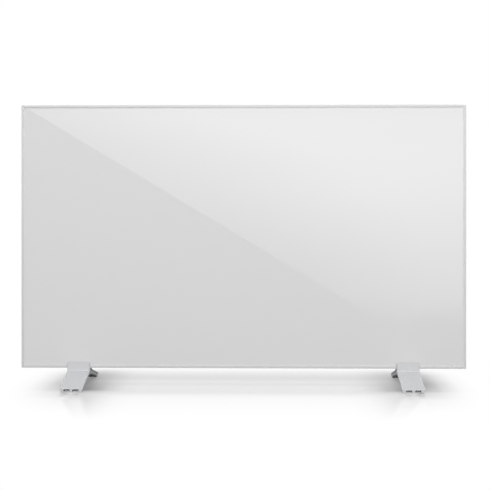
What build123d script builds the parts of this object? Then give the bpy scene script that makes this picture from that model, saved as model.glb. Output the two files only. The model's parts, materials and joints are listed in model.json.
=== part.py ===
from build123d import *
import math
import os

# Infrared panel heater on two feet, in millimetres: X across, Y from front to back, Z up.
# The origin is on the floor, midway between the feet, in the middle plane of the panel.

# ---- driving dimensions -------------------------------------------------------------------------

# Panel and frame extrusion
panel_width = 1005
panel_height = 595
panel_depth = 24
panel_bottom = 38  # underside of the frame above the floor
frame_wall = 1.4
frame_lip = 5  # lip that shows round the front
frame_bevel = 0.6
mitre_gap = 0.05  # taken off each mitred end
overrun = 1  # how far a cut runs past the face that it opens
chamber_width = 8.6  # hollow that holds the corner keys and the tapped bars
back_rebate = 1.2  # step that the back sheet lies in

# Corner keys and tapped bars
key_length = 36
key_taper = 1
chamber_fit = 0.2  # play of a key or bar on each side
bar_length = 62

# Glass and its seal
glass_thickness = 4
glass_radius = 2
gasket_wall = 0.7
gasket_bead = 1.6  # width of seal that shows inside the lip
glass_fit = 0.2

# Heating laminate and what lies behind it
plate_gap = 0.6  # round the laminate and the board, inside the frame
plate_thickness = 1.6
busbar_width = 12
busbar_thickness = 0.6
busbar_edge = 8  # from the laminate's long edge to the busbar
busbar_end = 20  # from the laminate's short edge to the busbar
busbar_fit = 0.2
foil_thickness = 0.4
foil_edge = 10  # bare strip between foil and busbar
board_gap = 0.3  # air between the board and the back sheet

# Thermal cut-outs
cutout_share = 0.3  # the cut-outs' spacing as a share of the panel's width
cup_radius = 8
cup_height = 4
cup_bevel = 0.6
foil_clear = 1  # between the foil and a cup
cutout_radius = 7.2
cutout_height = 8
cutout_pocket = 15
tab_width = 6.3
tab_thickness = 0.8
tab_start = 2.9  # from the cut-out's axis to the tab's inner end
tab_reach = 13  # from the cut-out's axis to the tab's outer end

# Leads
lead_radius = 1.3
lead_bend = 4
groove_width = 5
groove_floor = 0.3  # gap between a lead and the groove under it
lead_hole = 3.6  # radius of a hole that lets a lead through the board
upper_lead_reach = 80  # from the left cut-out to the lead that goes up

# Back sheet and its screws
back_sheet = 1
back_fit = 0.3
back_screw_radius = 1.7
back_screw_length = 9.5
back_head_radius = 3.4
back_head_height = 2
back_screw_end = 22  # from a corner of the frame to the first screw
long_side_screws = 6
short_side_screws = 4
hole_fit = 0.1  # radial play of a screw, rivet or insert in its hole

# Threaded inserts for wall brackets
wall_inset_x = 202.5  # from the frame's outer faces to an insert
wall_inset_z = 97.5
insert_bore = 2.5
insert_radius = 3.5
insert_length = 12
insert_flange = 5.5
insert_flange_height = 0.8
insert_clear = 2  # between an insert and the board

# Junction box
box_width = 140
box_height = 76
box_depth = 26
box_wall = 2.5
box_radius = 6
box_least_radius = 1.8  # tightest corner inside the box
box_edge = 32.5  # from the frame's outer face to the box
box_rise = 62  # from the frame's underside to the box
lid_thickness = 2
lid_round = 1.2
lid_rim_height = 3
lid_rim_wall = 1.5
lid_fit = 0.3
boss_radius = 4
boss_inset = 8  # from the box's outer faces to a boss's axis
lid_screw_radius = 1.5
lid_screw_length = 12
lid_head_radius = 2.9
lid_head_height = 1.8
rivet_radius = 1.6
rivet_head_radius = 3.2
rivet_head_height = 1
rivet_tail_radius = 2.3
rivet_tail_height = 1.3
rivet_inset_x = 30
rivet_inset_z = 14

# Grommet
grommet_x = -50  # from the box's middle
grommet_z = 12
grommet_bore = 5.2
grommet_radius = 7.4
grommet_flange = 9.6
grommet_flange_height = 1.1
grommet_lead_offset = 2.2

# Terminal block
pole_pitch = 12
pole_width = 10
block_x = 12  # from the box's middle
block_length = 20
block_height = 18
block_web_height = 8
block_web_inset = 3
tower_bevel = 1.2
screw_well = 2.1  # radius of the well over a clamp screw
screw_sunk = 2  # clamp screw below the tower's top
clamp_radius = 3
clamp_bore = 1.9
clamp_length = 18
clamp_screw_radius = 1.5
clamp_screw_spacing = 9
clamp_screw_fit = 0.05
wire_depth = 4  # how deep a lead goes into a clamp

# Cable gland
gland_x = 30  # from the box's middle
gland_thread = 8
gland_flats = 19  # across flats
gland_flange_height = 4.5
gland_thread_proud = 1  # thread past the locknut
gland_neck = 7.2
gland_neck_length = 9
gland_bore = 4.6
gland_seal_radius = 5.7
gland_seal_length = 8
cord_radius = 3.6  # bore of the seal
cap_wall = 2.2
cap_end = 2.4
cap_gap = 0.5  # between the cap and the hexagon of the body
locknut_height = 4

# Rocker switch
switch_width = 12.8
switch_height = 18.8
switch_body_depth = 15
bezel_rim = 1.1
bezel_thickness = 2
bezel_bevel = 0.8
rocker_width = 9.2
rocker_radius = 8
rocker_gap = 0.3
rocker_throw = 20  # degrees from one latched end to the other
rocker_pivot_depth = 4  # pivot below the bezel's face
rocker_skirt = 2.5  # rocker below its pivot
rocker_well = 5.2  # well below the pivot
pivot_radius = 1.4
pivot_length = 0.9
pivot_fit = 0.05
switch_tab_spacing = 10
switch_tab_width = 4.8
switch_tab_length = 7

# Earth stud
earth_x = -24  # from the box's middle
stud_radius = 2
stud_shoulder = 4
stud_end = 4.5
tag_radius = 4.5
tag_tongue = 13
tag_tongue_width = 5
tag_lead_gap = 1.5  # from the ring to the end of the lead
nut_flats = 7
nut_height = 3.2

# Feet
foot_inset = 130.5  # from the frame's end to the middle of a foot
foot_width = 51
foot_length = 240
foot_end_height = 9
foot_shoulder = 32  # height where the sloping leg meets the lip
lip_height = 12  # lip above the frame's underside
lip_thickness = 3
skin_thickness = 2.8
side_rib = 7.5
centre_rib = 6
rib_inset = 1.5  # skin stands out past the side ribs
foot_edge = 0.8  # rounding of the foot's long edges
foot_nose = 2  # rounding of the leg's end
leg_depth = 9  # upright, from the top of the leg to the ribs' underside
arch_start = 34  # from the leg's end to where the underside follows the top
arch_round = 8
lip_round = 1.2
shoulder_round = 3
liner_thickness = 1.5
slot_fit = 0.1  # play of frame and liner in the slot, on each side
liner_edge = 1  # liner ends this far inside the foot
screw_boss = 5.6
screw_boss_height = 10.5
foot_screw_radius = 2.5
foot_screw_length = 20
foot_head_radius = 4.3
foot_head_height = 3.2
foot_head_clear = 0.8  # screw heads end this far above the ribs' underside
pad_length = 14
pad_width = 5
pad_thickness = 1.5
pad_proud = 0.8  # pad below the ribs
pad_fit = 0.1
pad_setback = 3  # from the leg's end to the pad
pad_land = 19  # level part of the ribs at each end
web_thickness = 2.5  # cross web that closes each end's pockets

# Shares that several pieces keep
hexagon_bevel = 0.8  # of a hexagon's corner
head_bevel = 0.35  # of a screw head's height

# ---- places worked out from them ----------------------------------------------------------------

front_y = -panel_depth / 2
back_y = panel_depth / 2
panel_top = panel_bottom + panel_height
middle_z = panel_bottom + panel_height / 2

glass_y = front_y + frame_wall + gasket_wall
plate_y = glass_y + glass_thickness
plate_back_y = plate_y + plate_thickness
board_y = plate_back_y + foil_thickness
ledge_y = plate_y + gasket_wall
flange_back_y = back_y - back_rebate
flange_front_y = flange_back_y - frame_wall
sheet_y = flange_back_y + back_sheet
board_back_y = flange_back_y - board_gap

key_wall = frame_wall + chamber_width + frame_wall
chamber_front_y = ledge_y + frame_wall
chamber_middle_y = (chamber_front_y + flange_front_y) / 2
chamber_middle = frame_wall + chamber_width / 2

plate_width = panel_width - 2 * (key_wall + plate_gap)
plate_height = panel_height - 2 * (key_wall + plate_gap)
busbar_z = plate_height / 2 - busbar_edge - busbar_width / 2  # above and below the middle
upper_busbar_z = middle_z + busbar_z
lower_busbar_z = middle_z - busbar_z

cutout_spacing = panel_width * cutout_share
upper_lead_x = -cutout_spacing / 2 - upper_lead_reach
cutout_front_y = plate_back_y + cup_height
cutout_back_y = cutout_front_y + cutout_height
lead_y = cutout_back_y + tab_thickness / 2
groove_y = lead_y - lead_radius - groove_floor

box_x = panel_width / 2 - box_edge - box_width / 2
box_z = panel_bottom + box_rise + box_height / 2
box_floor_y = sheet_y + box_wall
box_rim_y = sheet_y + box_depth
box_middle_y = sheet_y + box_depth / 2
box_side_x = box_x + box_width / 2
box_under_z = box_z - box_height / 2
hole_x = box_x + grommet_x
hole_z = box_z + grommet_z

block_middle_x = box_x + block_x
block_top_z = box_z + block_length / 2
switch_back_x = box_side_x - switch_body_depth
switch_tab_x = switch_back_x - switch_tab_length
pivot_x = box_side_x + bezel_thickness - rocker_pivot_depth

slot_half = panel_depth / 2 + liner_thickness + 2 * slot_fit
slot_floor = panel_bottom - liner_thickness
lip_face = slot_half + lip_thickness
lip_top = panel_bottom + lip_height
leg_half = foot_length / 2
channel_outer = foot_width / 2 - rib_inset - side_rib
channel_middle = (centre_rib / 2 + channel_outer) / 2
boss_under = slot_floor - screw_boss_height
foot_places = [foot_inset - panel_width / 2, panel_width / 2 - foot_inset]

# ---- small helpers ------------------------------------------------------------------------------


def block(x0, x1, y0, y1, z0, z1):
    """Box between two corners."""
    middle = Pos((x0 + x1) / 2, (y0 + y1) / 2, (z0 + z1) / 2)
    return middle * Box(x1 - x0, y1 - y0, z1 - z0)


def rectangle(x0, x1, y0, y1):
    """Flat rectangle between two corners."""
    return Pos((x0 + x1) / 2, (y0 + y1) / 2) * Rectangle(x1 - x0, y1 - y0)


def pin_y(x, z, radius, y0, y1):
    """Cylinder along Y."""
    return Pos(x, (y0 + y1) / 2, z) * Rot(-90, 0, 0) * Cylinder(radius, y1 - y0)


def pin_z(x, y, radius, z0, z1):
    """Cylinder along Z."""
    return Pos(x, y, (z0 + z1) / 2) * Cylinder(radius, z1 - z0)


def slab(outline, y0, y1):
    """Outline drawn in X and Z, given thickness from y0 to y1."""
    return Pos(0, y1, 0) * extrude(Plane.XZ * outline, y1 - y0)


def hexagon(flats, height):
    """Hexagonal prism with bevelled corners, standing on z = 0."""
    corner = flats / math.sqrt(3)
    prism = extrude(RegularPolygon(corner, 6), height)
    bevel = (corner - flats / 2) * hexagon_bevel
    round_stock = Pos(0, 0, height / 2) * Cylinder(corner, height)
    return prism & chamfer(round_stock.edges().filter_by(GeomType.CIRCLE), bevel)


def screw(radius, length, head_radius, head_height):
    """Screw pointing down, with its head's seat at z = 0."""
    shank = Pos(0, 0, -length / 2) * Cylinder(radius, length)
    head = Pos(0, 0, head_height / 2) * Cylinder(head_radius, head_height)
    head = chamfer(head.edges().sort_by(Axis.Z)[-1], head_height * head_bevel)
    return shank + head


def lead(*points):
    """Round lead along straight runs joined by bends."""
    path = FilletPolyline(*points, radius=lead_bend)
    return sweep((path ^ 0) * Circle(lead_radius), path)


def groove(*points):
    """Channel for a lead that runs through points in the XZ plane."""
    half = groove_width / 2
    cuts = []
    for (xa, za), (xb, zb) in zip(points, points[1:]):
        x0, x1 = min(xa, xb) - half, max(xa, xb) + half
        z0, z1 = min(za, zb) - half, max(za, zb) + half
        cuts.append(block(x0, x1, groove_y, board_back_y + overrun, z0, z1))
    return cuts


def four_places(x, z, half_x, half_z):
    """Corners of a rectangle about a middle."""
    return [(x + sx * half_x, z + sz * half_z) for sx in (-1, 1) for sz in (-1, 1)]


def save(name, *shapes):
    """Write one node, with one solid or a group of them."""
    solids = [solid for shape in shapes for solid in shape.solids()]
    export_step(solids[0] if len(solids) == 1 else Compound(solids), f"parts/{name}.step")


os.makedirs("parts", exist_ok=True)

# ---- frame --------------------------------------------------------------------------------------


def frame_profile():
    """Section of the extrusion: x inwards from the outer face, y back from the front."""
    ledge = ledge_y - front_y
    flange = flange_front_y - front_y
    flange_end = flange_back_y - front_y
    shell = make_face(
        Polyline(
            (frame_bevel, 0),
            (frame_lip, 0),
            (frame_lip, frame_wall),
            (frame_wall, frame_wall),
            (frame_wall, panel_depth),
            (0, panel_depth),
            (0, frame_bevel),
            close=True,
        )
    )
    rest = rectangle(0, key_wall, ledge, ledge + frame_wall)
    inner = rectangle(key_wall - frame_wall, key_wall, ledge, flange_end)
    rear = rectangle(0, key_wall, flange, flange_end)
    return Sketch() + [shell, rest, inner, rear]


def frame_side(length, span, turn):
    """One mitred side: drawn as the bottom one, then turned about the panel's middle."""
    start = Plane(origin=(0, front_y, -span / 2), x_dir=(0, 0, 1), z_dir=(-1, 0, 0))
    bar = extrude(start * frame_profile(), length / 2, both=True)
    half = length / 2 - mitre_gap
    reach = key_wall + overrun
    wedge = Polyline(
        (-half, -span / 2),
        (half, -span / 2),
        (half - reach, -span / 2 + reach),
        (-half + reach, -span / 2 + reach),
        close=True,
    )
    bar = bar & slab(make_face(wedge), front_y, back_y)
    return Pos(0, 0, middle_z) * Rot(0, turn, 0) * bar


def side_steps(length, count):
    """Evenly spaced places along a side, the first and last near its corners."""
    reach = length / 2 - back_screw_end
    return [reach * (2 * step / (count - 1) - 1) for step in range(count)]


def back_screw_places():
    """Places of the back sheet's screws, as x and z."""
    low = panel_bottom + chamber_middle
    high = panel_top - chamber_middle
    side = panel_width / 2 - chamber_middle
    places = []
    for x in side_steps(panel_width, long_side_screws):
        places += [(x, low), (x, high)]
    for z in side_steps(panel_height, short_side_screws):
        places += [(-side, middle_z + z), (side, middle_z + z)]
    return places


def screw_holes(places, radius, y0, y1):
    """Holes along Y at each place."""
    return [pin_y(x, z, radius, y0, y1) for x, z in places]


screw_places = back_screw_places()
pilot_holes = screw_holes(screw_places, back_screw_radius + hole_fit, flange_front_y - overrun, back_y)
foot_screw_places = [foot + side * channel_middle for foot in foot_places for side in (-1, 1)]


def foot_screw_holes(radius, z0, z1):
    """Upright holes for the foot screws."""
    return [pin_z(x, chamber_middle_y, radius, z0, z1) for x in foot_screw_places]


frame_bottom = frame_side(panel_width, panel_height, 0)
frame_bottom -= foot_screw_holes(
    foot_screw_radius + hole_fit, panel_bottom - overrun, panel_bottom + frame_wall + overrun
)
save("frame_bottom", frame_bottom - pilot_holes)
save("frame_left", frame_side(panel_height, panel_width, 90) - pilot_holes)
save("frame_top", frame_side(panel_width, panel_height, 180) - pilot_holes)
save("frame_right", frame_side(panel_height, panel_width, 270) - pilot_holes)


def corner_key():
    """Angle that joins two sides, drawn for the lower left corner."""
    outer = frame_wall + chamber_fit
    inner = frame_wall + chamber_width - chamber_fit
    tip = outer + key_length
    outline = Polyline(
        (outer, outer),
        (tip - key_taper, outer),
        (tip, outer + key_taper),
        (tip, inner),
        (inner, inner),
        (inner, tip),
        (outer + key_taper, tip),
        (outer, tip - key_taper),
        close=True,
    )
    key = slab(make_face(outline), chamber_front_y + chamber_fit, flange_front_y - chamber_fit)
    return Pos(-panel_width / 2, 0, panel_bottom) * key


key = corner_key()
keys = [key, mirror(key, Plane.YZ)]
keys += [mirror(one, Plane.XY.offset(middle_z)) for one in keys]
key_holes = screw_holes(
    screw_places, back_screw_radius + hole_fit, sheet_y - back_screw_length - overrun, sheet_y
)
save("corner_keys", *[one - key_holes for one in keys])

# ---- glass and seal -----------------------------------------------------------------------------

glass_inset = frame_wall + gasket_wall + glass_fit
glass_outline = RectangleRounded(
    panel_width - 2 * glass_inset, panel_height - 2 * glass_inset, glass_radius
)
glass = slab(Pos(0, middle_z) * glass_outline, glass_y, plate_y)
save("front_glass", glass)


def glass_gasket():
    """Seal of U section all round the glass."""
    outer = Rectangle(
        panel_width - 2 * (frame_wall + glass_fit / 2), panel_height - 2 * (frame_wall + glass_fit / 2)
    )
    window = 2 * (frame_lip + gasket_bead)
    opening = Rectangle(panel_width - window, panel_height - window)
    ring = slab(Pos(0, middle_z) * (outer - opening), front_y + frame_wall, ledge_y)
    return ring - glass


save("glass_gasket", glass_gasket())

# ---- heating laminate, foil and board -----------------------------------------------------------


def busbar(z, grow):
    """Copper strip let into the back of the laminate, or its groove when grown."""
    half = plate_width / 2 - busbar_end + grow
    rise = busbar_width / 2 + grow
    return block(-half, half, plate_back_y - busbar_thickness, plate_back_y, z - rise, z + rise)


plate = slab(Pos(0, middle_z) * Rectangle(plate_width, plate_height), plate_y, plate_back_y)
save("heating_plate", plate - [busbar(z, busbar_fit) for z in (upper_busbar_z, lower_busbar_z)])
save("busbars", busbar(lower_busbar_z, 0), busbar(upper_busbar_z, 0))

cutout_places = [(-cutout_spacing / 2, middle_z), (cutout_spacing / 2, middle_z)]
foil_height = 2 * (busbar_z - busbar_width / 2 - foil_edge)
foil = slab(Pos(0, middle_z) * Rectangle(plate_width, foil_height), plate_back_y, board_y)
foil -= screw_holes(cutout_places, cup_radius + foil_clear, plate_y, board_y + overrun)
save("reflector_foil", foil)

right_lead_x = hole_x + grommet_lead_offset
lower_lead_x = hole_x - grommet_lead_offset
insert_places = four_places(
    0, middle_z, panel_width / 2 - wall_inset_x, panel_height / 2 - wall_inset_z
)


def insulation_board():
    """Board with pockets for what stands in it and grooves for the leads."""
    outline = Pos(0, middle_z) * Rectangle(plate_width, plate_height)
    board = slab(outline, board_y, board_back_y)
    y0, y1 = board_y - overrun, board_back_y + overrun
    cuts = screw_holes(cutout_places, cutout_pocket, y0, y1)
    insert_end = sheet_y - insert_length - overrun
    cuts += screw_holes(insert_places, insert_radius + insert_clear, insert_end, y1)
    lead_ends = [(upper_lead_x, upper_busbar_z), (lower_lead_x, lower_busbar_z)]
    cuts += screw_holes(lead_ends, lead_hole, y0, y1)
    pocket_y = flange_back_y - grommet_flange_height - board_gap
    cuts.append(
        block(
            box_x - box_width / 2 + box_wall,
            box_x + box_width / 2 - box_wall,
            pocket_y,
            y1,
            box_z - box_height / 2 + box_wall,
            box_z + box_height / 2 - box_wall,
        )
    )
    half = cutout_spacing / 2
    cuts += groove((half, middle_z), (right_lead_x, middle_z), (right_lead_x, hole_z))
    cuts += groove((-half, middle_z), (half, middle_z))
    cuts += groove((-half, middle_z), (upper_lead_x, middle_z), (upper_lead_x, upper_busbar_z))
    cuts += groove((lower_lead_x, lower_busbar_z), (lower_lead_x, hole_z))
    return board - cuts


save("insulation_board", insulation_board())

# ---- thermal cut-outs ---------------------------------------------------------------------------


def cutout_cup(x, z):
    """Metal cup that touches the laminate."""
    cup = pin_y(x, z, cup_radius, plate_back_y, cutout_front_y)
    return chamfer(cup.edges().sort_by(Axis.Y)[0], cup_bevel)


def cutout_tab(x, z, side):
    """Flat terminal that reaches out sideways from the back of a cut-out."""
    inner, outer = sorted([x + side * tab_start, x + side * tab_reach])
    half = tab_width / 2
    back = cutout_back_y + tab_thickness
    return block(inner, outer, cutout_back_y, back, z - half, z + half)


save("cutout_cups", *[cutout_cup(x, z) for x, z in cutout_places])
cutout_bodies = screw_holes(cutout_places, cutout_radius, cutout_front_y, cutout_back_y)
save("cutout_bodies", *cutout_bodies)
save("cutout_tabs", *[cutout_tab(x, z, side) for x, z in cutout_places for side in (-1, 1)])

# ---- leads in the board -------------------------------------------------------------------------

tab_end = cutout_spacing / 2 + tab_reach
tab_inner = cutout_spacing / 2 - tab_reach
under_block_z = box_z - box_height / 2 + box_wall + gland_thread + locknut_height
over_block_z = box_z + box_height / 2 - box_wall - lead_bend - lead_radius
turn_x = switch_tab_x - 2 * lead_bend
lower_tab_z = box_z - switch_tab_spacing / 2
upper_tab_z = box_z + switch_tab_spacing / 2
wire_in_z = box_z + clamp_length / 2 - wire_depth
pole_x = [block_middle_x + step * pole_pitch for step in (-1, 0, 1)]  # earth, neutral, line

lead_line = lead(
    (tab_end, lead_y, middle_z),
    (right_lead_x, lead_y, middle_z),
    (right_lead_x, lead_y, hole_z),
    (right_lead_x, box_middle_y, hole_z),
    (right_lead_x, box_middle_y, under_block_z),
    (turn_x, box_middle_y, under_block_z),
    (turn_x, box_middle_y, lower_tab_z),
    (switch_tab_x, box_middle_y, lower_tab_z),
)
lead_upper = lead(
    (-tab_end, lead_y, middle_z),
    (upper_lead_x, lead_y, middle_z),
    (upper_lead_x, lead_y, upper_busbar_z),
    (upper_lead_x, plate_back_y, upper_busbar_z),
)
lead_lower = lead(
    (lower_lead_x, plate_back_y, lower_busbar_z),
    (lower_lead_x, lead_y, lower_busbar_z),
    (lower_lead_x, lead_y, hole_z),
    (lower_lead_x, box_middle_y, hole_z),
    (lower_lead_x, box_middle_y, over_block_z),
    (pole_x[1], box_middle_y, over_block_z),
    (pole_x[1], box_middle_y, wire_in_z),
)
lead_link = Pos(0, lead_y, middle_z) * Rot(0, 90, 0) * Cylinder(lead_radius, 2 * tab_inner)
save("lead_line", lead_line)
save("lead_upper", lead_upper)
save("lead_lower", lead_lower)
save("lead_link", lead_link)

# ---- back sheet, its screws and the wall inserts ------------------------------------------------

rivet_places = four_places(
    box_x, box_z, box_width / 2 - rivet_inset_x, box_height / 2 - rivet_inset_z
)


def back_panel():
    """Flat sheet with every hole that goes through it."""
    inset = 2 * (frame_wall + back_fit)
    outline = Rectangle(panel_width - inset, panel_height - inset)
    sheet = slab(Pos(0, middle_z) * outline, flange_back_y, sheet_y)
    y0, y1 = flange_back_y - overrun, sheet_y + overrun
    cuts = screw_holes(screw_places, back_screw_radius + 2 * hole_fit, y0, y1)
    cuts += screw_holes(insert_places, insert_radius + hole_fit, y0, y1)
    cuts += screw_holes(rivet_places, rivet_radius + hole_fit, y0, y1)
    cuts.append(pin_y(hole_x, hole_z, grommet_radius + hole_fit, y0, y1))
    return sheet - cuts


save("back_panel", back_panel())
back_screw = screw(back_screw_radius, back_screw_length, back_head_radius, back_head_height)
facing_back = Rot(-90, 0, 0)
save("back_screws", *[Pos(x, sheet_y, z) * facing_back * back_screw for x, z in screw_places])


def wall_insert(x, z):
    """Blind-riveted insert with a plain bore in place of its thread."""
    body = pin_y(x, z, insert_radius, sheet_y - insert_length, sheet_y)
    face = sheet_y + insert_flange_height
    flange = pin_y(x, z, insert_flange, sheet_y, face)
    bore = pin_y(x, z, insert_bore, sheet_y - insert_length - overrun, face + overrun)
    return body + flange - bore


save("wall_inserts", *[wall_insert(x, z) for x, z in insert_places])

# ---- junction box -------------------------------------------------------------------------------

boss_places = four_places(box_x, box_z, box_width / 2 - boss_inset, box_height / 2 - boss_inset)
box_corners = four_places(box_x, box_z, box_width / 2, box_height / 2)
earth_stud_x = box_x + earth_x


def box_outline(inset):
    """Rounded outline of the box, drawn in by inset all round."""
    radius = max(box_radius - inset, box_least_radius)
    shape = RectangleRounded(box_width - 2 * inset, box_height - 2 * inset, radius)
    return Pos(box_x, box_z) * shape


def junction_base():
    """Moulded tray with corner bosses, riveted to the back sheet and open to the rear."""
    stock = slab(box_outline(0), sheet_y, box_rim_y)
    tray = stock - slab(box_outline(box_wall), box_floor_y, box_rim_y + overrun)
    for x, z in box_corners:
        x0, x1, z0, z1 = x - boss_inset, x + boss_inset, z - boss_inset, z + boss_inset
        tray += block(x0, x1, sheet_y, box_rim_y, z0, z1) & stock
    tray += [pin_y(x, z, boss_radius, sheet_y, box_rim_y) for x, z in boss_places]
    pilot = lid_screw_radius + hole_fit
    y1 = box_rim_y + overrun
    cuts = screw_holes(boss_places, pilot, box_rim_y - lid_screw_length - overrun, y1)
    y0, y1 = sheet_y - overrun, box_floor_y + overrun
    cuts += screw_holes(rivet_places, rivet_radius + hole_fit, y0, y1)
    cuts.append(pin_y(hole_x, hole_z, grommet_radius + hole_fit, y0, y1))
    cuts.append(pin_y(earth_stud_x, box_z, stud_shoulder + hole_fit, y0, y1))
    z0, z1 = box_under_z - overrun, box_under_z + box_wall + overrun
    cuts.append(pin_z(box_x + gland_x, box_middle_y, gland_thread + hole_fit, z0, z1))
    half_y, half_z = switch_width / 2 + hole_fit, switch_height / 2 + hole_fit
    cuts.append(
        block(
            box_side_x - box_wall - overrun,
            box_side_x + overrun,
            box_middle_y - half_y,
            box_middle_y + half_y,
            box_z - half_z,
            box_z + half_z,
        )
    )
    return tray - cuts


def junction_lid():
    """Cover with a rounded edge and a rim that locates it inside the tray."""
    cover = slab(box_outline(0), box_rim_y, box_rim_y + lid_thickness)
    cover = fillet(cover.faces().sort_by(Axis.Y)[-1].edges(), lid_round)
    rim_outer = box_wall + lid_fit
    rim = box_outline(rim_outer) - box_outline(rim_outer + lid_rim_wall)
    rim_y = box_rim_y - lid_rim_height
    ring = slab(rim, rim_y, box_rim_y)
    clear = boss_inset + lid_fit
    for x, z in boss_places:
        ring -= block(x - clear, x + clear, rim_y - overrun, box_rim_y, z - clear, z + clear)
    y0, y1 = box_rim_y - overrun, box_rim_y + lid_thickness + overrun
    return cover + ring - screw_holes(boss_places, lid_screw_radius + hole_fit, y0, y1)


save("junction_base", junction_base())
save("junction_lid", junction_lid())
lid_screw = screw(lid_screw_radius, lid_screw_length, lid_head_radius, lid_head_height)
lid_face = box_rim_y + lid_thickness
save("lid_screws", *[Pos(x, lid_face, z) * facing_back * lid_screw for x, z in boss_places])


def base_rivet(x, z):
    """Blind rivet through the tray's floor and the back sheet."""
    head_end, tail_end = box_floor_y + rivet_head_height, flange_back_y - rivet_tail_height
    rivet = pin_y(x, z, rivet_radius, tail_end, head_end)
    rivet += pin_y(x, z, rivet_head_radius, box_floor_y, head_end)
    return rivet + pin_y(x, z, rivet_tail_radius, tail_end, flange_back_y)


save("base_rivets", *[base_rivet(x, z) for x, z in rivet_places])


def lead_grommet():
    """Rubber ring with a groove that grips the sheet and the tray's floor."""
    front, back = flange_back_y, box_floor_y
    y0, y1 = front - grommet_flange_height, back + grommet_flange_height
    ring = pin_y(hole_x, hole_z, grommet_radius, front, back)
    ring += pin_y(hole_x, hole_z, grommet_flange, y0, front)
    ring += pin_y(hole_x, hole_z, grommet_flange, back, y1)
    return ring - pin_y(hole_x, hole_z, grommet_bore, y0 - overrun, y1 + overrun)


save("lead_grommet", lead_grommet())

# ---- terminal block -----------------------------------------------------------------------------

screw_rows = [box_z - clamp_screw_spacing / 2, box_z + clamp_screw_spacing / 2]


def terminal_block():
    """Row of towers joined by lower webs, bored for clamps, leads and screws."""
    top = box_floor_y + block_height
    z0, z1 = box_z - block_length / 2, block_top_z
    row = pole_x[2] - pole_x[0]
    body = block(
        block_middle_x - row / 2,
        block_middle_x + row / 2,
        box_floor_y,
        box_floor_y + block_web_height,
        z0 + block_web_inset,
        z1 - block_web_inset,
    )
    cuts = []
    for x in pole_x:
        tower = block(x - pole_width / 2, x + pole_width / 2, box_floor_y, top, z0, z1)
        body += chamfer(tower.edges().filter_by(Axis.Z).group_by(Axis.Y)[-1], tower_bevel)
        bore = clamp_radius + hole_fit
        cuts.append(pin_z(x, box_middle_y, bore, z0 - overrun, z1 + overrun))
        cuts += [pin_y(x, z, screw_well, box_middle_y, top + overrun) for z in screw_rows]
    return body - cuts


def terminal_clamp(x):
    """Brass tube that grips a lead at each end."""
    half = clamp_length / 2
    tube = pin_z(x, box_middle_y, clamp_radius, box_z - half, box_z + half)
    tube -= pin_z(
        x, box_middle_y, clamp_bore, box_z - half - overrun, box_z + half + overrun
    )
    hole, outside = clamp_screw_radius + clamp_screw_fit, box_middle_y + clamp_radius + overrun
    return tube - [pin_y(x, z, hole, box_middle_y, outside) for z in screw_rows]


def clamp_screw(x, z):
    """Grub screw that comes down on a lead."""
    tip = box_middle_y + lead_radius + hole_fit
    return pin_y(x, z, clamp_screw_radius, tip, box_floor_y + block_height - screw_sunk)


save("terminal_block", terminal_block())
save("terminal_clamps", *[terminal_clamp(x) for x in pole_x])
save("terminal_screws", *[clamp_screw(x, z) for x in pole_x for z in screw_rows])

# ---- leads inside the box and the earth stud ----------------------------------------------------

mid_run_z = block_top_z + 2 * lead_bend
switch_lead = lead(
    (pole_x[2], box_middle_y, wire_in_z),
    (pole_x[2], box_middle_y, mid_run_z),
    (turn_x, box_middle_y, mid_run_z),
    (turn_x, box_middle_y, upper_tab_z),
    (switch_tab_x, box_middle_y, upper_tab_z),
)
earth_end_z = box_z + tag_radius + tag_lead_gap
earth_lead = lead(
    (pole_x[0], box_middle_y, wire_in_z),
    (pole_x[0], box_middle_y, mid_run_z),
    (earth_stud_x, box_middle_y, mid_run_z),
    (earth_stud_x, box_middle_y, earth_end_z),
)
save("switch_lead", switch_lead)
save("earth_lead", earth_lead)

tag_back_y = box_middle_y - lead_radius
tag_y = tag_back_y - tab_thickness
nut_back_y = tag_back_y + nut_height
stud = pin_y(earth_stud_x, box_z, stud_shoulder, sheet_y, tag_y)
stud += pin_y(earth_stud_x, box_z, stud_radius, sheet_y, nut_back_y + stud_end)
save("earth_stud", stud)
stud_hole = pin_y(earth_stud_x, box_z, stud_radius + hole_fit, sheet_y, nut_back_y + overrun)
tag = pin_y(earth_stud_x, box_z, tag_radius, tag_y, tag_back_y)
tag += block(
    earth_stud_x - tag_tongue_width / 2,
    earth_stud_x + tag_tongue_width / 2,
    tag_y,
    tag_back_y,
    box_z,
    box_z + tag_tongue,
)
save("earth_tag", tag - stud_hole)
nut = Pos(earth_stud_x, tag_back_y, box_z) * facing_back * hexagon(nut_flats, nut_height)
save("earth_nut", nut - stud_hole)

# ---- cable gland --------------------------------------------------------------------------------

gland_middle_x = box_x + gland_x
gland_neck_top = -gland_flange_height
gland_neck_end = gland_neck_top - gland_neck_length
gland_inside = box_wall + locknut_height
at_gland = Pos(gland_middle_x, box_middle_y, box_under_z)  # z = 0 is the outside of the wall


def upright(radius, z0, z1):
    """Cylinder on the gland's axis."""
    return pin_z(0, 0, radius, z0, z1)


def gland_body():
    """Threaded sleeve, hexagon and neck, with a seat for the seal in the neck."""
    thread_end = gland_inside + gland_thread_proud
    low, seat = gland_neck_end - overrun, gland_neck_end + gland_seal_length
    body = upright(gland_thread, gland_neck_top, thread_end)
    body += Pos(0, 0, gland_neck_top) * hexagon(gland_flats, gland_flange_height)
    body += upright(gland_neck, gland_neck_end, gland_neck_top)
    return body - upright(gland_bore, low, thread_end + overrun) - upright(
        gland_seal_radius, low, seat
    )


def gland_seal():
    """Rubber ring that closes on the cord."""
    end = gland_neck_end + gland_seal_length
    outer = upright(gland_seal_radius - hole_fit, gland_neck_end, end)
    return outer - upright(cord_radius, gland_neck_end - overrun, end + overrun)


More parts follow.
